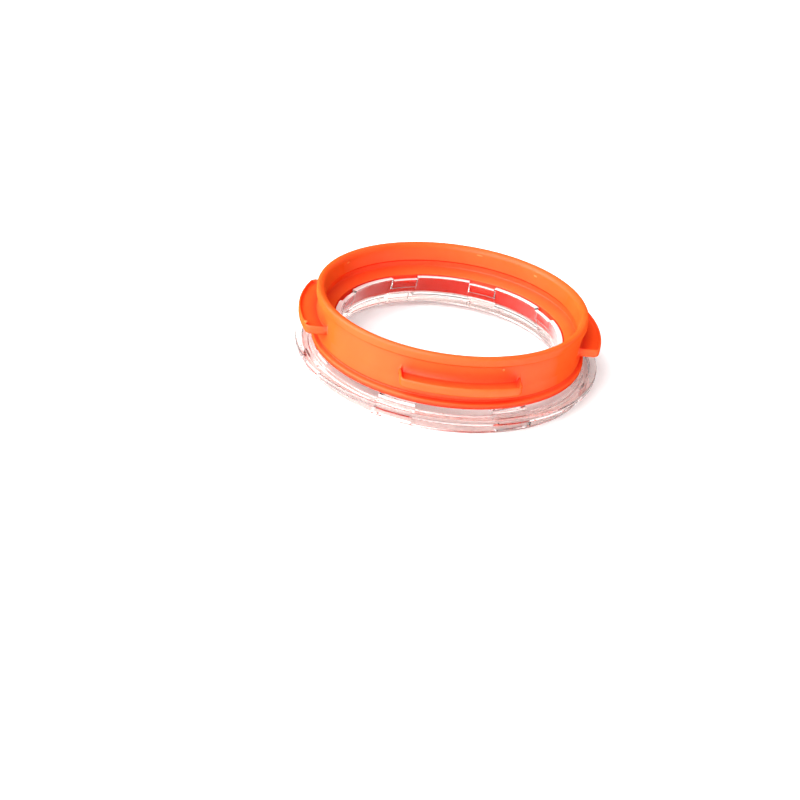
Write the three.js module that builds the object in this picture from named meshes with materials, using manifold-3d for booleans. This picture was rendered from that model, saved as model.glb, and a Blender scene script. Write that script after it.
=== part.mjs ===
// Two-piece cuff ring: a coloured ring with four finger lugs, pushed down over the collar of a clear
// flanged ring. Millimetres, +Z up, origin on the ring's axis at the level the clear ring stands on.
import * as THREE from "three";
import { mergeVertices } from "three/addons/utils/BufferGeometryUtils.js";
import Module from "manifold-3d";

// Clear ring: one moulding with a collar that draws in towards its top, a flange and a skirt.
const BORE_R = 37.5;
const BORE_TOP_R = 35.6;
const COLLAR_R = 39.3;
const COLLAR_TOP_R = 37.4;
const COLLAR_TOP = 12.4;
const COLLAR_FOOT = 2;
const FLANGE_R = 50;
const FLANGE_LOW = 3.8;
const FLANGE_TOP = 5.6;
const SKIRT_R = 47.7;
const SKIRT_INNER_R = 45.6;

// Eight stations round the clear ring, each with a window, a skirt notch and a keyway.
const STATIONS = 8;
const STATION_START_DEG = 21.5;
const STATION_HALF_DEG = 7.5;
const WINDOW_R = [40.2, 44.6];
const NOTCH_R = 46.9;
const NOTCH_Z = [0.6, 3.3];
const KEYWAY_R = 37;
const KEYWAY_FLOOR = 8;
const KEYWAY_TOP = 11.6;
const KEY_HALF_DEG = 6.9;
const KEY_R = [37.3, 40.2];
const KEY_Z = [8.3, 11.3];

// Coloured ring: a thin wall with a rounded rim above, a shallow groove and a ledge inside it, and a socket
// for the collar below.
const RIM_CREST_R = 43.1;
const RIM_TOP = 23;
const RIM_OUTER_ROUND = [0.9, 0.9];
const RIM_LEAD_IN = [1.9, 1.7];
const RIM_BAND_LOW = 20.2;
const WALL_R = 43.3;
const WALL_FOOT_R = 43.7;
const WALL_FOOT_Z = [9.2, 17];
const SEAT_R = 39.6;
const SEAT_TOP_R = 37.7;
const SEAT_LOW = 5.9;
const LEDGE_LOW = 12.8;
const LEDGE_HIGH = 14.5;
const GROOVE_R = 41.7;
const GROOVE_TOP = [16.4, 16.9];
const BEAD_R = 45;
const BEAD_LOW = 6.4;
const BEAD_TOP = 8.2;
const RELIEF_R = [40.9, 42.1];
const RELIEF_TOP = 11.4;

// Finger lugs on the coloured ring, each with straight parallel ends and a scoop in its upper face.
const LUGS = 4;
const LUG_HALF_WIDTH = 17.9;
const LUG_R = [42.7, 49.4];
const LUG_Z = [13, 16];
const LUG_CORNER = 2.2;
const SCOOP_BORDER = 0.9;
const SCOOP_INNER_R = 43.1;
const SCOOP_FLOOR = 14.8;
const SCOOP_CORNER = 1.4;

const EDGE_ROUND = 0.3;
const LATHE_SEGMENTS = 80;
const ARC_SEGMENTS = 6;
const CUT_PAST = 1.2;
const MERGE_WITHIN = 1e-4;

const wasm = await Module();
wasm.setup();

// A three.js geometry as a manifold-3d solid.
function solid(geometry) {
  const bare = geometry.clone();
  bare.deleteAttribute("normal");
  bare.deleteAttribute("uv");
  const merged = mergeVertices(bare, MERGE_WITHIN);
  return new wasm.Manifold(
    new wasm.Mesh({
      numProp: 3,
      vertProperties: merged.attributes.position.array,
      triVerts: new Uint32Array(merged.index.array),
    }),
  );
}

// A manifold-3d solid as a named mesh with flat facets.
function part(name, body, material) {
  const made = body.getMesh();
  const geometry = new THREE.BufferGeometry();
  geometry.setAttribute("position", new THREE.BufferAttribute(made.vertProperties, made.numProp));
  geometry.setIndex(new THREE.BufferAttribute(made.triVerts, 1));
  geometry.computeVertexNormals();
  const mesh = new THREE.Mesh(geometry, new THREE.MeshStandardMaterial(material));
  mesh.name = name;
  return mesh;
}

// A ring turned about Z from a closed section of [radius, height] points, listed anticlockwise.
function turned(section) {
  const points = section.map(([r, z]) => new THREE.Vector2(r, z));
  points.push(points[0].clone());
  return solid(new THREE.LatheGeometry(points, LATHE_SEGMENTS).rotateX(Math.PI / 2));
}

// Points over the rim: round on its outer side, then over the crest and down the longer lead-in.
function rimTop() {
  return Array.from({ length: 2 * ARC_SEGMENTS + 1 }, (_, i) => {
    const a = (Math.PI * i) / (2 * ARC_SEGMENTS);
    const [reach, drop] = i < ARC_SEGMENTS ? RIM_OUTER_ROUND : RIM_LEAD_IN;
    return [RIM_CREST_R + reach * Math.cos(a), RIM_TOP - drop * (1 - Math.sin(a))];
  });
}

// A flat outline drawn along +X, raised between two heights and turned to an angle round the ring.
function raised(shape, [low, high], centreDeg) {
  shape.closePath();
  const options = { depth: high - low, bevelEnabled: false, curveSegments: ARC_SEGMENTS };
  const plate = new THREE.ExtrudeGeometry(shape, options);
  return solid(plate.translate(0, 0, low).rotateZ(THREE.MathUtils.degToRad(centreDeg)));
}

// A plate with radial ends, between two radii.
function sector(centreDeg, halfDeg, [inner, outer], heights) {
  const half = THREE.MathUtils.degToRad(halfDeg);
  const shape = new THREE.Shape();
  shape.absarc(0, 0, inner, half, -half, true);
  shape.absarc(0, 0, outer, -half, half, false);
  return raised(shape, heights, centreDeg);
}

// A plate with parallel ends and rounded outer corners, between two radii.
function tab(centreDeg, halfWidth, [inner, outer], heights, corner) {
  const innerTurn = Math.asin(halfWidth / inner);
  const turn = Math.asin((halfWidth - corner) / (outer - corner));
  const reach = (outer - corner) * Math.cos(turn);
  const shape = new THREE.Shape();
  shape.absarc(0, 0, inner, innerTurn, -innerTurn, true);
  shape.absarc(reach, corner - halfWidth, corner, -Math.PI / 2, -turn, false);
  shape.absarc(0, 0, outer, -turn, turn, false);
  shape.absarc(reach, halfWidth - corner, corner, turn, Math.PI / 2, false);
  return raised(shape, heights, centreDeg);
}

// The same solid at every one of a number of equal angles.
function around(count, startDeg, make) {
  const copies = Array.from({ length: count }, (_, i) => make(startDeg + (360 * i) / count));
  return copies.reduce((sum, copy) => sum.add(copy));
}

function clearRing() {
  const body = turned([
    [BORE_R, COLLAR_FOOT + EDGE_ROUND],
    [BORE_R + EDGE_ROUND, COLLAR_FOOT],
    [COLLAR_R, COLLAR_FOOT],
    [COLLAR_R, FLANGE_LOW],
    [SKIRT_INNER_R, FLANGE_LOW],
    [SKIRT_INNER_R, EDGE_ROUND],
    [SKIRT_INNER_R + EDGE_ROUND, 0],
    [SKIRT_R - EDGE_ROUND, 0],
    [SKIRT_R, EDGE_ROUND],
    [SKIRT_R, FLANGE_LOW],
    [FLANGE_R - EDGE_ROUND, FLANGE_LOW],
    [FLANGE_R, FLANGE_LOW + EDGE_ROUND],
    [FLANGE_R, FLANGE_TOP - EDGE_ROUND],
    [FLANGE_R - EDGE_ROUND, FLANGE_TOP],
    [COLLAR_R, FLANGE_TOP],
    [COLLAR_TOP_R, COLLAR_TOP - EDGE_ROUND],
    [COLLAR_TOP_R - EDGE_ROUND, COLLAR_TOP],
    [BORE_TOP_R + EDGE_ROUND, COLLAR_TOP],
    [BORE_TOP_R, COLLAR_TOP - EDGE_ROUND],
  ]);
  const [outside, above] = [COLLAR_R + CUT_PAST, COLLAR_TOP + CUT_PAST];
  const cuts = (deg) => [
    sector(deg, STATION_HALF_DEG, WINDOW_R, [FLANGE_LOW - CUT_PAST, FLANGE_TOP + CUT_PAST]),
    sector(deg, STATION_HALF_DEG, [NOTCH_R, SKIRT_R + CUT_PAST], NOTCH_Z),
    sector(deg, STATION_HALF_DEG, [KEYWAY_R, outside], [KEYWAY_FLOOR, above]),
    sector(deg, STATION_HALF_DEG, [BORE_TOP_R - CUT_PAST, outside], [KEYWAY_TOP, above]),
  ];
  return body.subtract(
    around(STATIONS, STATION_START_DEG, (deg) => cuts(deg).reduce((sum, cut) => sum.add(cut))),
  );
}

// One lug: a plate let into the wall, with a scoop that leaves a border round its ends and outer side.
function lug(deg) {
  const plate = tab(deg, LUG_HALF_WIDTH, LUG_R, LUG_Z, LUG_CORNER);
  const scoopR = [SCOOP_INNER_R, LUG_R[1] - SCOOP_BORDER];
  const scoopZ = [SCOOP_FLOOR, LUG_Z[1] + CUT_PAST];
  return plate.subtract(tab(deg, LUG_HALF_WIDTH - SCOOP_BORDER, scoopR, scoopZ, SCOOP_CORNER));
}

function colouredRing() {
  const wall = turned([
    [SEAT_R, SEAT_LOW],
    [RELIEF_R[0], SEAT_LOW],
    [RELIEF_R[0], RELIEF_TOP],
    [RELIEF_R[1], RELIEF_TOP],
    [RELIEF_R[1], BEAD_LOW],
    [BEAD_R - EDGE_ROUND, BEAD_LOW],
    [BEAD_R, BEAD_LOW + EDGE_ROUND],
    [BEAD_R, BEAD_TOP - EDGE_ROUND],
    [BEAD_R - EDGE_ROUND, BEAD_TOP],
    [WALL_R, BEAD_TOP + EDGE_ROUND],
    [WALL_FOOT_R, WALL_FOOT_Z[0]],
    [WALL_R, WALL_FOOT_Z[1]],
    [WALL_R, RIM_BAND_LOW - EDGE_ROUND],
    [RIM_CREST_R + RIM_OUTER_ROUND[0], RIM_BAND_LOW],
    ...rimTop(),
    [RIM_CREST_R - RIM_LEAD_IN[0], GROOVE_TOP[1]],
    [GROOVE_R, GROOVE_TOP[0]],
    [GROOVE_R, LEDGE_HIGH],
    [SEAT_TOP_R + EDGE_ROUND, LEDGE_LOW + EDGE_ROUND],
    [SEAT_TOP_R, LEDGE_LOW],
  ]);
  const lugs = around(LUGS, 0, lug);
  const keys = around(STATIONS, STATION_START_DEG, (deg) =>
    sector(deg, KEY_HALF_DEG, KEY_R, KEY_Z),
  );
  return wall.add(lugs).add(keys);
}

const group = new THREE.Group();
group.name = "cuff_ring";
group.add(part("clear_collar_ring", clearRing(), { color: 0xe9eef0, roughness: 0.08, metalness: 0 }));
group.add(part("coloured_lug_ring", colouredRing(), { color: 0xf2622d, roughness: 0.45, metalness: 0 }));
export default group;
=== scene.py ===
"""Looks of the two-piece cuff ring: a satin coloured ring with finger lugs, on a clear flanged ring."""
import math

import bmesh
import bpy
from mathutils import Matrix, Vector


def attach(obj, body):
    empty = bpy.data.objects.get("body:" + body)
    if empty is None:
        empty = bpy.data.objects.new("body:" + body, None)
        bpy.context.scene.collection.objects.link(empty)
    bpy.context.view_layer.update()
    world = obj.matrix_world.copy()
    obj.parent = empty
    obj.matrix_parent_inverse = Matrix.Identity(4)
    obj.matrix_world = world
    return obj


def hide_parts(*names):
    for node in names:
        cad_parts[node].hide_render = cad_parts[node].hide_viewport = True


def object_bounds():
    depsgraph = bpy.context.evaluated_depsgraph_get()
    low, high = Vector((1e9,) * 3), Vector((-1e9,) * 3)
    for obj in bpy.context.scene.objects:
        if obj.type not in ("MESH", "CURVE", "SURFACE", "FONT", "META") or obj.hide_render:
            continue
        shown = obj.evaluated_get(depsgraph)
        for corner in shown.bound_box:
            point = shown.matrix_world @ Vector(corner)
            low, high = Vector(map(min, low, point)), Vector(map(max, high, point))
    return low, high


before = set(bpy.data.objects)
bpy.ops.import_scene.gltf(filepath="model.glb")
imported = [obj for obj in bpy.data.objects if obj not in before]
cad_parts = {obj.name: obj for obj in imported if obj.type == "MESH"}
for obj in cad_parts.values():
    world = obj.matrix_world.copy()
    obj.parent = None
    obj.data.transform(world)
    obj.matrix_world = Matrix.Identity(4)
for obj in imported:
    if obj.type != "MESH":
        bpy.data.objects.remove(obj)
CAD_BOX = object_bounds()
MM = 0.001

# Clear ring, in millimetres and degrees.
BORE_R = 37.5
BORE_TOP_R = 35.6
COLLAR_R = 39.3
COLLAR_TOP_R = 37.4
COLLAR_TOP = 12.4
COLLAR_FOOT = 2.0
FLANGE_R = 50.0
FLANGE_LOW = 3.8
FLANGE_TOP = 5.6
SKIRT_R = 47.7
SKIRT_INNER_R = 45.6
STATIONS = 8
STATION_START = 21.5
STATION_HALF = 7.5
STATION_FADE = 0.75
WINDOW_R = (40.2, 44.6)
NOTCH_R = 46.9
NOTCH_Z = (0.6, 3.3)
KEYWAY_R = 37.0
KEYWAY_FLOOR = 8.0
KEYWAY_TOP = 11.6
# Height over which a notch or a keyway cuts in from the plain wall.
CUT_RISE = 0.25

# Coloured ring, in millimetres and degrees.
RIM_CREST_R = 43.1
RIM_TOP = 23.0
RIM_OUTER_ROUND = (0.9, 0.9)
RIM_LEAD_IN = (1.9, 1.7)
RIM_BAND_LOW = 20.2
RIM_STEPS = 20
WALL_R = 43.3
WALL_FOOT_R = 43.7
SEAT_R = 39.6
SEAT_TOP_R = 37.7
SEAT_LOW = 5.9
LEDGE_LOW = 12.8
LEDGE_HIGH = 14.5
GROOVE_R = 41.7
GROOVE_TOP = (16.4, 16.9)
BEAD_R = 45.0
BEAD_LOW = 6.4
BEAD_TOP = 8.2
RELIEF_R = (40.9, 42.1)
RELIEF_TOP = 11.4
KEY_HALF = 6.9
KEY_FADE = 0.5
KEY_R = 37.3
KEY_Z = (8.3, 11.3)
KEY_RISE = 0.2
LUGS = 4
LUG_HALF_WIDTH = 17.9
LUG_R = 49.4
LUG_Z = (13.0, 16.0)
LUG_CORNER = 2.2
LUG_ROUND = 0.8
LUG_FILLET = 0.4
# The stretch of plain wall that a lug's section takes up, below the lug and above it.
LUG_ROOM = (0.6, 1.2)
# A lug rises out of the wall while its reach is under this.
LUG_BLEND = 0.3
SCOOP_BORDER = (0.35, 1.2)
SCOOP_DEPTH = 1.2
SCOOP_FILLET = 0.25
# Where a lug's ends are: first angle from its middle, pitch and number of the close-set columns.
LUG_END_COLUMNS = (18, 0.24, 35)

# How far inside a cut's limits a point has to lie before the cut moves it, in millimetres.
CUT_MARGIN = 0.1

# Gate marks and pips on the coloured ring: angle, radius, height, then half sizes along, up and out, in mm.
MARKS = (
    (146.0, 41.2, 20.6, 0.9, 0.45, 0.14),
    (72.0, 41.2, 21.0, 1.3, 0.3, 0.14),
    (40.5, 41.2, 20.2, 0.9, 0.4, 0.14),
    (-73.7, 43.35, 18.9, 0.5, 0.6, 0.14),
    (-162.0, 48.7, 15.85, 0.9, 0.3, 0.6),
)

# Painted light: how much of the light the level faces of the clear ring scatter, which makes them whiter.
PAINTED_LIGHT_ON_LEVEL_FACES = 0.55
# Dark specks: their size in a cell of the pattern, and the share of cells that have none.
SPECK_R = 0.08
SPECKLESS = 0.55

# A hair of air under the clear ring, so that its foot and the floor aren't one surface.
FLOOR_GAP = 0.02 * MM

# The large soft light: where it comes from, in degrees, and its strength over the all-round light's.
LIGHT_AZIMUTH = 205
LIGHT_ELEVATION = 14
LIGHT_AMBIENT = 0.42
LIGHT_KEY = 6.0

# The camera: azimuth, elevation and roll in degrees, distance and aim in metres.
CAMERA_AZIMUTH = -97.8
CAMERA_ELEVATION = 27.48
CAMERA_ROLL = 7.26
CAMERA_DISTANCE = 0.3349
CAMERA_AIM = (-0.01577, -0.03133, 0.0)


def smooth(t):
    """Smoothstep of t, held between 0 and 1."""
    t = max(0.0, min(1.0, t))
    return t * t * (3 - 2 * t)


def direction(azimuth, elevation):
    """The unit vector towards an azimuth and an elevation, in degrees."""
    a, e = math.radians(azimuth), math.radians(elevation)
    return Vector((math.cos(a) * math.cos(e), math.sin(a) * math.cos(e), math.sin(e)))


def off_station(deg, start, count):
    """Degrees from the nearest of a number of equally spaced angles."""
    pitch = 360 / count
    return abs((deg - start + pitch / 2) % pitch - pitch / 2)


def columns(pitch, edges):
    """Angles round the ring: an even pitch, with close-set columns at the edges where the section changes."""
    edges = [e % 360 for e in edges]
    even = [i * pitch for i in range(round(360 / pitch))]
    kept = [a for a in even if all(abs((a - e + 180) % 360 - 180) > pitch * 0.45 for e in edges)]
    return sorted(set(round(a % 360, 4) for a in [*kept, *edges]))


def rounded(section, steps=4):
    """A closed section of (r, z, corner radius) points, with each corner turned into an arc."""
    out = []
    count = len(section)
    for i, (r, z, radius) in enumerate(section):
        if not radius:
            out.append((r, z))
            continue
        corner = Vector((r, z))
        back = (Vector(section[i - 1][:2]) - corner).normalized()
        ahead = (Vector(section[(i + 1) % count][:2]) - corner).normalized()
        half = back.angle(ahead) / 2
        reach = radius / math.tan(half)
        centre = corner + (back + ahead).normalized() * (radius / math.sin(half))
        start = corner + back * reach - centre
        end = corner + ahead * reach - centre
        sweep = start.angle_signed(end)
        for k in range(steps + 1):
            turned = start.copy()
            turned.rotate(Matrix.Rotation(-sweep * k / steps, 2))
            out.append(tuple(centre + turned))
    return out


def placed(name, bm):
    """A finished bmesh as a smooth-shaded object in the scene."""
    bmesh.ops.recalc_face_normals(bm, faces=bm.faces)
    for face in bm.faces:
        face.smooth = True
    mesh = bpy.data.meshes.new(name)
    bm.to_mesh(mesh)
    bm.free()
    obj = bpy.data.objects.new(name, mesh)
    bpy.context.scene.collection.objects.link(obj)
    return obj


def ring_mesh(name, angles, section_at, skip=None, walls=None):
    """A ring swept round Z from a section that may change with the angle."""
    bm = bmesh.new()
    rows = []
    for deg in angles:
        a = math.radians(deg)
        rows.append(
            [bm.verts.new((r * math.cos(a) * MM, r * math.sin(a) * MM, z * MM)) for r, z in section_at(deg)]
        )
    count = len(rows[0])
    for i, row in enumerate(rows):
        after = rows[(i + 1) % len(rows)]
        for j in range(count):
            if skip and skip(i, j):
                continue
            k = (j + 1) % count
            bm.faces.new((row[j], after[j], after[k], row[k]))
    if walls:
        walls(bm, rows)
    return placed(name, bm)


def clear_ring():
    """The clear moulding: collar, flange and skirt, with windows, notches and keyways at its stations."""

    def collar_at(z):
        return COLLAR_R + (COLLAR_TOP_R - COLLAR_R) * (z - FLANGE_TOP) / (COLLAR_TOP - FLANGE_TOP)

    notch_low, notch_top = NOTCH_Z
    base = rounded(
        [
            (BORE_R, COLLAR_FOOT, 0.45),
            (COLLAR_R, COLLAR_FOOT, 0.45),
            (COLLAR_R, FLANGE_LOW, 0.3),
            (WINDOW_R[0], FLANGE_LOW, 0),
            (WINDOW_R[1], FLANGE_LOW, 0),
            (SKIRT_INNER_R, FLANGE_LOW, 0.3),
            (SKIRT_INNER_R, 0, 0.4),
            (SKIRT_R, 0, 0.4),
            *((SKIRT_R, z, 0) for z in (notch_low, notch_low + CUT_RISE, notch_top - CUT_RISE, notch_top)),
            (SKIRT_R, FLANGE_LOW, 0.2),
            (FLANGE_R, FLANGE_LOW, 0.45),
            (FLANGE_R, FLANGE_TOP, 0.55),
            (WINDOW_R[1], FLANGE_TOP, 0),
            (WINDOW_R[0], FLANGE_TOP, 0),
            (COLLAR_R, FLANGE_TOP, 0.3),
            *((collar_at(z), z, 0) for z in (KEYWAY_FLOOR, KEYWAY_FLOOR + CUT_RISE)),
            (COLLAR_TOP_R, COLLAR_TOP, 0.2),
            (BORE_TOP_R, COLLAR_TOP, 0.25),
        ]
    )
    low_in, low_out, top_out, top_in = (
        base.index(point)
        for point in (
            (WINDOW_R[0], FLANGE_LOW),
            (WINDOW_R[1], FLANGE_LOW),
            (WINDOW_R[1], FLANGE_TOP),
            (WINDOW_R[0], FLANGE_TOP),
        )
    )
    sunk = COLLAR_TOP - KEYWAY_TOP

    def section_at(deg):
        off = off_station(deg, STATION_START, STATIONS)
        inside = smooth((STATION_HALF + STATION_FADE / 2 - off) / STATION_FADE)
        points = []
        for r, z in base:
            if r > NOTCH_R and notch_low + CUT_MARGIN < z < notch_top - CUT_MARGIN:
                r += (NOTCH_R - r) * inside
            if z > KEYWAY_FLOOR + CUT_MARGIN and r > KEYWAY_R:
                r += (KEYWAY_R - r) * inside
            if z > KEYWAY_TOP:
                z -= sunk * inside
            points.append((r, z))
        return points

    edges = []
    for s in range(STATIONS):
        centre = STATION_START + s * 360 / STATIONS
        for side in (-1, 1):
            edges += [centre + side * (STATION_HALF + STATION_FADE * (t / 8 - 0.5)) for t in range(9)]
    angles = columns(1.25, edges)
    in_window = [
        off_station((a + ((b - a) % 360) / 2) % 360, STATION_START, STATIONS) < STATION_HALF
        for a, b in zip(angles, angles[1:] + angles[:1])
    ]

    def skip(i, j):
        return in_window[i] and j in (low_in, top_out)

    def walls(bm, rows):
        for i, row in enumerate(rows):
            after = rows[(i + 1) % len(rows)]
            if in_window[i]:
                bm.faces.new((row[low_in], after[low_in], after[top_in], row[top_in]))
                bm.faces.new((row[low_out], row[top_out], after[top_out], after[low_out]))
            if in_window[i] != in_window[i - 1]:
                bm.faces.new((row[low_in], row[low_out], row[top_out], row[top_in]))

    return ring_mesh("clear_ring_moulding", angles, section_at, skip, walls)


# The centre of a lug's corner: its angle from the lug's middle, and its distance along the lug's axis.
CORNER_TURN = math.asin((LUG_HALF_WIDTH - LUG_CORNER) / (LUG_R - LUG_CORNER))
CORNER_REACH = (LUG_R - LUG_CORNER) * math.cos(CORNER_TURN)


def lug_outline(turn):
    """The lug's outline radius on a ray at an angle from its middle, blended into the wall past its end."""
    if turn <= CORNER_TURN:
        return LUG_R
    if turn <= math.atan2(LUG_HALF_WIDTH, CORNER_REACH):
        along = math.cos(turn - CORNER_TURN) * (LUG_R - LUG_CORNER)
        across = math.sin(turn - CORNER_TURN) * (LUG_R - LUG_CORNER)
        return along + math.sqrt(LUG_CORNER**2 - across**2)
    past_wall = (LUG_HALF_WIDTH / math.sin(turn) - WALL_R) / LUG_FILLET
    too_big_for_exp = past_wall > 30
    return WALL_R + LUG_FILLET * (past_wall if too_big_for_exp else math.log1p(math.exp(past_wall)))


def lug_inset(r, turn):
    """How far a point on the lug lies inside its outline."""
    x, y = r * math.cos(turn), r * math.sin(turn)
    if turn > CORNER_TURN and x > CORNER_REACH:
        return max(0.0, LUG_CORNER - math.hypot(x - CORNER_REACH, y - LUG_HALF_WIDTH + LUG_CORNER))
    return max(0.0, min(LUG_R - r, LUG_HALF_WIDTH - y))


def lug_section(turn):
    """The lug's section along a ray: out under it, round its edge, and back over its scoop to the wall."""
    outline = lug_outline(turn)
    span = outline - WALL_R
    # Near the lug's ends a ray crosses the edge round at a slant, so the round takes up more of the ray.
    end_turn, least_slant, most_of_span = 0.34, 0.38, 0.6
    slant = max(math.sin(turn), least_slant) if turn > end_turn else 1
    edge = min(LUG_ROUND / slant, span * most_of_span)

    def rolled(inset):
        """How much of its edge round the lug has lost at a distance inside its outline."""
        left = max(0.0, 1 - inset / LUG_ROUND)
        return LUG_ROUND * (1 - math.sqrt(1 - left * left))

    def top(r):
        inset = lug_inset(r, turn)
        scoop = SCOOP_DEPTH * smooth((inset - SCOOP_BORDER[0]) / (SCOOP_BORDER[1] - SCOOP_BORDER[0]))
        root = SCOOP_FILLET * (1 - smooth((r - WALL_R) / SCOOP_FILLET))
        return LUG_Z[1] - rolled(inset) - scoop + root

    # Points close together round the edge, and closer towards the wall than out on the scoop.
    edge_steps, top_steps, crowding = 6, 22, 1.2
    under = [WALL_R + (span - edge) * t for t in (0.02, 0.12, 0.35, 0.7)]
    roll = [outline - edge * (1 - math.cos(math.pi / 2 * k / edge_steps)) for k in range(edge_steps + 1)]
    over = [WALL_R + (span - edge) * (k / top_steps) ** crowding for k in range(top_steps, -1, -1)]
    points = [(r, LUG_Z[0] + rolled(lug_inset(r, turn))) for r in under + roll[::-1]]
    points += [(r, top(r)) for r in roll + over[1:]]
    return points, span


def coloured_ring():
    """The coloured moulding: rounded rim, thin wall, four scooped lugs, foot bead, ledge, socket and keys."""
    wall_low, wall_top = LUG_Z[0] - LUG_ROOM[0], LUG_Z[1] + LUG_ROOM[1]

    def seat_at(z):
        return SEAT_R + (SEAT_TOP_R - SEAT_R) * (z - SEAT_LOW) / (LEDGE_LOW - SEAT_LOW)

    rim = []
    for k in range(1, RIM_STEPS):
        a = math.pi * k / RIM_STEPS
        reach, drop = RIM_OUTER_ROUND if k < RIM_STEPS // 2 else RIM_LEAD_IN
        rim.append((RIM_CREST_R + reach * math.cos(a), RIM_TOP - drop * (1 - math.sin(a)), 0))
    inner = RIM_CREST_R - RIM_LEAD_IN[0]
    band = RIM_CREST_R + RIM_OUTER_ROUND[0]
    below = rounded(
        [
            (SEAT_R, SEAT_LOW, 0.3),
            (RELIEF_R[0], SEAT_LOW, 0.25),
            (RELIEF_R[0], RELIEF_TOP, 0.3),
            (RELIEF_R[1], RELIEF_TOP, 0.3),
            (RELIEF_R[1], BEAD_LOW, 0.25),
            (BEAD_R, BEAD_LOW, 0.5),
            (BEAD_R, BEAD_TOP, 0.7),
            (WALL_R, BEAD_TOP + 0.3, 0.3),
            (WALL_FOOT_R, BEAD_TOP + 1.0, 0.4),
            (WALL_R, wall_low, 0),
            (WALL_R, wall_top, 0),
            (WALL_R, RIM_BAND_LOW - 0.35, 0.3),
            (band, RIM_BAND_LOW + 0.1, 0.3),
            (band, RIM_TOP - RIM_OUTER_ROUND[1], 0),
            *rim,
            (inner, RIM_TOP - RIM_LEAD_IN[1], 0),
            (inner, GROOVE_TOP[1], 0.3),
            (GROOVE_R, GROOVE_TOP[0], 0.3),
            (GROOVE_R, LEDGE_HIGH, 0.6),
            (SEAT_TOP_R, LEDGE_LOW, 0.4),
            *((seat_at(z), z, 0) for z in (KEY_Z[1], KEY_Z[1] - KEY_RISE, KEY_Z[0] + KEY_RISE, KEY_Z[0])),
        ]
    )
    split = below.index((WALL_R, wall_low)) + 1

    def on_key(r, z):
        return r < RELIEF_R[0] and KEY_Z[0] + CUT_MARGIN < z < KEY_Z[1] - CUT_MARGIN

    def section_at(deg):
        lug, span = lug_section(math.radians(off_station(deg, 0, LUGS)))
        near = smooth(span / LUG_BLEND)
        key = smooth((KEY_HALF + KEY_FADE - off_station(deg, STATION_START, STATIONS)) / KEY_FADE)
        points = below[:split]
        for k, (r, z) in enumerate(lug):
            plain = wall_low + (wall_top - wall_low) * (k + 1) / (len(lug) + 1)
            points.append((WALL_R + (r - WALL_R) * near, plain + (z - plain) * near))
        points += below[split:]
        return [(r + (KEY_R - r) * key, z) if on_key(r, z) else (r, z) for r, z in points]

    first, pitch, count = LUG_END_COLUMNS
    edges = []
    for n in range(LUGS):
        for side in (-1, 1):
            edges += [n * 360 / LUGS + side * (first + pitch * k) for k in range(count)]
    for s in range(STATIONS):
        centre = STATION_START + s * 360 / STATIONS
        for side in (-1, 1):
            edges += [centre + side * (KEY_HALF + t) for t in (0, 0.12, 0.25, 0.38, KEY_FADE)]
    return ring_mesh("coloured_ring_moulding", columns(1.5, edges), section_at)


def gate_marks():
    """The small pale swellings that moulding leaves, each a flattened bead half sunk in the plastic."""
    bm = bmesh.new()
    rings, spokes = 7, 16
    for deg, r, z, along, up, out in MARKS:
        a = math.radians(deg)
        centre = Vector((r * math.cos(a), r * math.sin(a), z))
        axes = (
            Vector((-math.sin(a), math.cos(a), 0)) * along,
            Vector((0, 0, 1)) * up,
            Vector((math.cos(a), math.sin(a), 0)) * out,
        )
        rows = []
        for i in range(1, rings):
            t = math.pi * i / rings
            row = []
            for j in range(spokes):
                u = 2 * math.pi * j / spokes
                flat = axes[0] * math.cos(u) + axes[1] * math.sin(u)
                row.append(bm.verts.new((centre + flat * math.sin(t) + axes[2] * math.cos(t)) * MM))
            rows.append(row)
        ends = [bm.verts.new((centre + axes[2]) * MM), bm.verts.new((centre - axes[2]) * MM)]
        for j in range(spokes):
            k = (j + 1) % spokes
            bm.faces.new((ends[0], rows[0][j], rows[0][k]))
            bm.faces.new((ends[1], rows[-1][k], rows[-1][j]))
            for row, after in zip(rows, rows[1:]):
                bm.faces.new((row[j], after[j], after[k], row[k]))
    return placed("gate_marks", bm)


def finish_edges(obj, width):
    """Rounds the edges that are still sharp, and lets the large faces carry the shading."""
    bevel = obj.modifiers.new("edge_round", "BEVEL")
    bevel.limit_method = "ANGLE"
    bevel.angle_limit = math.radians(60)
    bevel.width = width
    bevel.segments = 2
    weighted = obj.modifiers.new("even_shading", "WEIGHTED_NORMAL")
    weighted.weight = 60
    weighted.keep_sharp = True


def grey(value):
    return (value, value, value, 1)


def node(tree, kind, **inputs):
    """A shader node with some of its sockets set, by socket name with underscores for its spaces."""
    made = tree.nodes.new(kind)
    for key, value in inputs.items():
        made.inputs[key.replace("_", " ")].default_value = value
    return made


def fill(tree, socket, term):
    """Sets a socket to a plain value, or links another node's output to it."""
    if isinstance(term, bpy.types.NodeSocket):
        tree.links.new(term, socket)
    else:
        socket.default_value = term


def maths(tree, operation, *terms):
    """The result of a maths node over plain numbers and other nodes' outputs."""
    made = tree.nodes.new("ShaderNodeMath")
    made.operation = operation
    for socket, term in zip(made.inputs, terms):
        fill(tree, socket, term)
    return made.outputs[0]


def mixed(tree, factor, low, high):
    """The colour between two colours, by a factor."""
    made = tree.nodes.new("ShaderNodeMix")
    made.data_type = "RGBA"
    # The factor, and a colour mix's two colours.
    for index, term in ((0, factor), (6, low), (7, high)):
        fill(tree, made.inputs[index], term)
    return made.outputs[2]


def new_material(name):
    material = bpy.data.materials.new(name)
    material.use_nodes = True
    tree = material.node_tree
    return material, tree, tree.nodes["Principled BSDF"], tree.nodes.new("ShaderNodeTexCoord")


def noise(tree, coords, scale, detail=3.0, roughness=0.5):
    made = node(tree, "ShaderNodeTexNoise", Scale=scale, Detail=detail, Roughness=roughness)
    tree.links.new(coords.outputs["Object"], made.inputs["Vector"])
    return made.outputs["Fac"]


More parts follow.
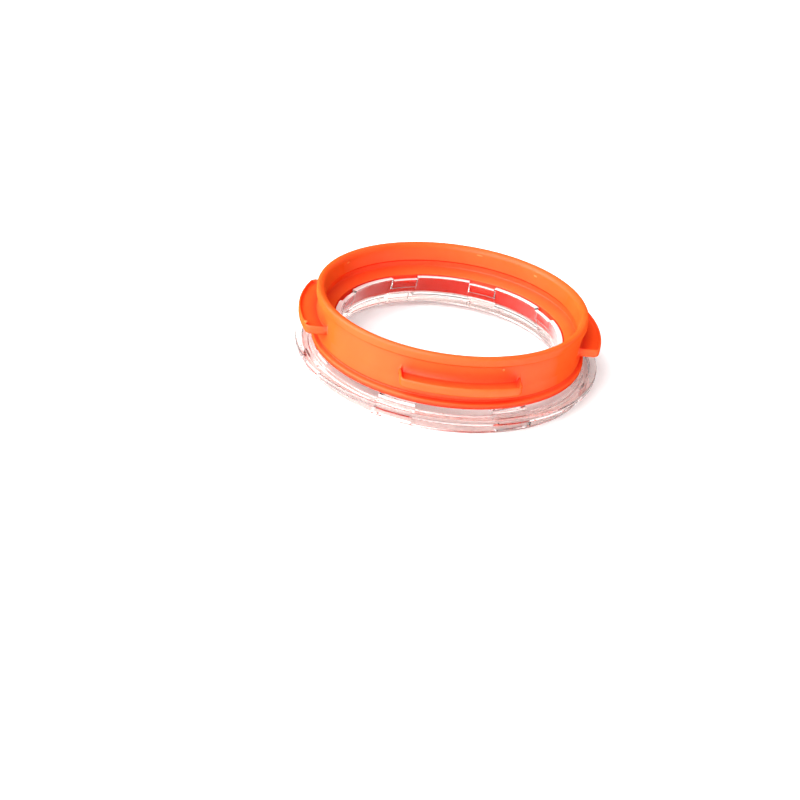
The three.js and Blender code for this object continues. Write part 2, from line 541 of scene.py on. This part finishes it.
def ramp(tree, source, *stops):
    """The colour on a ramp of (place, colour) stops."""
    made = tree.nodes.new("ShaderNodeValToRGB")
    for element, (place, colour) in zip(made.color_ramp.elements, stops, strict=True):
        element.position = place
        element.color = colour
    tree.links.new(source, made.inputs["Fac"])
    return made.outputs["Color"]


def bump(tree, shader, height, strength, distance):
    """Small relief on a shader's surface, from a height that a node gives."""
    made = node(tree, "ShaderNodeBump", Strength=strength, Distance=distance)
    tree.links.new(height, made.inputs["Height"])
    tree.links.new(made.outputs["Normal"], shader.inputs["Normal"])


def coloured_plastic(name, low, high):
    """Satin plastic: painted shade, a deeper red in its hollows, with faint mottling, a fine grain and soft
    light inside.
    """
    material, tree, shader, coords = new_material(name)
    mottle = ramp(tree, noise(tree, coords, 60.0, 4.0, 0.55), (0.3, low), (0.7, high))
    # Painted shade: the colour turns a deeper red where ambient occlusion finds hollows and corners.
    painted_shade_occlusion = node(tree, "ShaderNodeAmbientOcclusion", Distance=0.005)
    painted_shade_occlusion.samples = 16
    painted_shade_openness = ramp(tree, painted_shade_occlusion.outputs["AO"], (0.48, grey(0)), (0.96, grey(1)))
    tree.links.new(mixed(tree, painted_shade_openness, (0.86, 0.03, 0.012, 1), mottle), shader.inputs["Base Color"])
    gloss = ramp(tree, noise(tree, coords, 180.0), (0.3, grey(0.34)), (0.7, grey(0.4)))
    tree.links.new(gloss, shader.inputs["Roughness"])
    shader.inputs["IOR"].default_value = 1.45
    facing = node(tree, "ShaderNodeLayerWeight", Blend=0.5)
    shine = ramp(tree, facing.outputs["Facing"], (0.25, grey(0.28)), (0.55, grey(0)))
    tree.links.new(shine, shader.inputs["Specular IOR Level"])
    shader.inputs["Subsurface Weight"].default_value = 0.2
    shader.inputs["Subsurface Radius"].default_value = (1.0, 0.3, 0.12)
    shader.inputs["Subsurface Scale"].default_value = 0.0012
    bump(tree, shader, noise(tree, coords, 2600.0, 2.0), 0.03, 0.00005)
    return material


def painted_light_level_faces(tree, coords):
    """Painted light: 1 on the level faces of the collar's top and of its keyways, which are made whiter, and
    0 elsewhere.
    """
    place = tree.nodes.new("ShaderNodeSeparateXYZ")
    tree.links.new(coords.outputs["Object"], place.inputs[0])
    facing = tree.nodes.new("ShaderNodeSeparateXYZ")
    tree.links.new(coords.outputs["Normal"], facing.inputs[0])
    high = maths(tree, "GREATER_THAN", place.outputs["Z"], (KEYWAY_FLOOR - 0.5) * MM)
    level = node(tree, "ShaderNodeMapRange", From_Min=0.5, From_Max=0.9)
    tree.links.new(facing.outputs["Z"], level.inputs["Value"])
    return maths(tree, "MULTIPLY", high, level.outputs["Result"])


def clear_plastic():
    """Clear moulded plastic: polished, with slow flow ripples, a little haze, a few dark specks, a pinkish
    tint that is painted reflection of the orange ring, and painted light on its level faces.
    """
    material, tree, shader, coords = new_material("clear_moulded_plastic")
    # Painted reflection: a pinkish tint standing in for the orange ring seen in the clear plastic.
    painted_reflection_tint = ramp(
        tree,
        noise(tree, coords, 25.0, 2.0),
        (0.3, (0.94, 0.865, 0.84, 1)),
        (0.7, (0.985, 0.92, 0.895, 1)),
    )
    cells = node(tree, "ShaderNodeTexVoronoi", Scale=380.0)
    tree.links.new(coords.outputs["Object"], cells.inputs["Vector"])
    spot = maths(tree, "LESS_THAN", cells.outputs["Distance"], SPECK_R)
    chosen = maths(tree, "GREATER_THAN", cells.outputs["Color"], SPECKLESS)
    speck = maths(tree, "MULTIPLY", spot, chosen)
    tree.links.new(mixed(tree, speck, painted_reflection_tint, (0.03, 0.025, 0.02, 1)), shader.inputs["Base Color"])
    # Painted light: the level top faces let less light through and turn whiter.
    clearness_after_painted_light = maths(tree, "MULTIPLY_ADD", painted_light_level_faces(tree, coords), -PAINTED_LIGHT_ON_LEVEL_FACES, 1.0)
    unspotted = maths(tree, "SUBTRACT", 1.0, speck)
    tree.links.new(maths(tree, "MULTIPLY", clearness_after_painted_light, unspotted), shader.inputs["Transmission Weight"])
    haze = ramp(tree, noise(tree, coords, 90.0), (0.35, grey(0.01)), (0.75, grey(0.05)))
    tree.links.new(haze, shader.inputs["Roughness"])
    shader.inputs["Specular Tint"].default_value = grey(0.15)
    shader.inputs["IOR"].default_value = 1.47
    bump(tree, shader, noise(tree, coords, 140.0, 1.0), 0.08, 0.0003)
    return material


def paint(obj, material, slot, body, *nodes):
    obj.data.materials.clear()
    obj.data.materials.append(material)
    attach(obj, body)
    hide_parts(*nodes)


def floor():
    """A wide pale floor for the ring to stand on."""
    bpy.ops.mesh.primitive_plane_add(size=30)
    plane = bpy.context.object
    plane.name = "studio_floor"
    material, tree, shader, coords = new_material("pale_floor")
    shade = ramp(tree, noise(tree, coords, 3.0), (0.3, (0.92, 0.92, 0.925, 1)), (0.7, grey(0.94)))
    tree.links.new(shade, shader.inputs["Base Color"])
    shader.inputs["Roughness"].default_value = 0.9
    shader.inputs["Specular IOR Level"].default_value = 0.1
    shader.inputs["Emission Color"].default_value = grey(1)
    shader.inputs["Emission Strength"].default_value = 0.12
    plane.data.materials.append(material)
    plane.location.z = CAD_BOX[0].z - FLOOR_GAP


def studio():
    """An all-round soft white, with one large soft light low on the left."""
    world = bpy.data.worlds.new("soft_white")
    world.use_nodes = True
    tree = world.node_tree
    coords = tree.nodes.new("ShaderNodeTexCoord")
    towards = node(tree, "ShaderNodeVectorMath")
    towards.operation = "DOT_PRODUCT"
    towards.inputs[1].default_value = direction(LIGHT_AZIMUTH, LIGHT_ELEVATION)
    tree.links.new(coords.outputs["Generated"], towards.inputs[0])
    patch = node(
        tree, "ShaderNodeMapRange", From_Min=0.15, From_Max=0.9, To_Min=LIGHT_AMBIENT, To_Max=LIGHT_KEY
    )
    patch.interpolation_type = "SMOOTHSTEP"
    tree.links.new(towards.outputs["Value"], patch.inputs["Value"])
    background = tree.nodes["Background"]
    background.inputs["Color"].default_value = grey(1)
    tree.links.new(patch.outputs["Result"], background.inputs["Strength"])
    scene = bpy.context.scene
    scene.world = world
    scene.view_settings.view_transform = "Standard"
    scene.cycles.max_bounces = 24
    scene.cycles.transmission_bounces = 24
    scene.cycles.glossy_bounces = 12
    scene.cycles.transparent_max_bounces = 16


def camera():
    """The camera looks at a point short of the ring, a little rolled, as the ring was seen."""
    data = bpy.data.cameras.new("camera")
    data.lens = 45
    data.sensor_width = 36
    data.clip_start = 0.01
    data.clip_end = 60
    cam = bpy.data.objects.new("camera", data)
    cam.location = direction(CAMERA_AZIMUTH, CAMERA_ELEVATION) * CAMERA_DISTANCE
    look = (Vector(CAMERA_AIM) - cam.location).to_track_quat("-Z", "Y")
    cam.rotation_mode = "QUATERNION"
    cam.rotation_quaternion = look @ Matrix.Rotation(math.radians(CAMERA_ROLL), 4, "Z").to_quaternion()
    bpy.context.scene.collection.objects.link(cam)
    bpy.context.scene.camera = cam


clear = clear_ring()
coloured = coloured_ring()
finish_edges(clear, 0.15 * MM)
paint(clear, clear_plastic(), "clear_plastic", "clear_ring", "clear_collar_ring")
satin = coloured_plastic("satin_orange_plastic", (0.9, 0.082, 0.012, 1), (0.92, 0.096, 0.016, 1))
pale = coloured_plastic("pale_gate_plastic", (0.93, 0.14, 0.03, 1), (0.94, 0.18, 0.045, 1))
paint(coloured, satin, "coloured_plastic", "coloured_ring", "coloured_lug_ring")
paint(gate_marks(), pale, "coloured_plastic", "coloured_ring")
floor()
studio()
camera()
